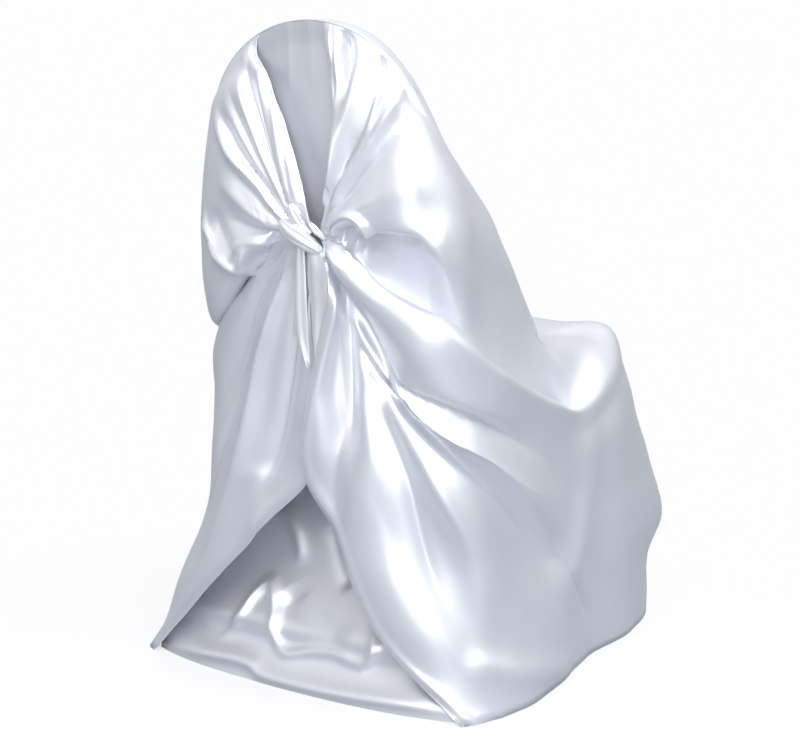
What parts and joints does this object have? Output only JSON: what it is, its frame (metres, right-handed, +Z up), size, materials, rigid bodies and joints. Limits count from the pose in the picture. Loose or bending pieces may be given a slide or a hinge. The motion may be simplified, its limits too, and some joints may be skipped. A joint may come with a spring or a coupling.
{
  "type": "chair cover with sash",
  "caption": "Draped satin cover for a round-backed banquet chair, with crossed rear wings tied by a knotted sash over a plain rear panel.",
  "frame": {"origin": "point under the crown of the cover, on its inner face, where the top of a chair's back carries it", "axes": "+Z up, -Y towards the front of the seat, +Y towards the knotted back, +X towards the sitter's left"},
  "size_m": [0.6302, 0.6597, 0.9352],
  "materials": {
    "cover satin": "satin",
    "panel satin": "satin",
    "sash satin": "satin"
  },
  "bodies": {
    "root": {"cover_body": "cover satin", "rear_panel": "panel satin", "sash_knot": "sash satin", "sash_end_left": "sash satin", "sash_end_right": "sash satin"}
  },
  "joints": []
}
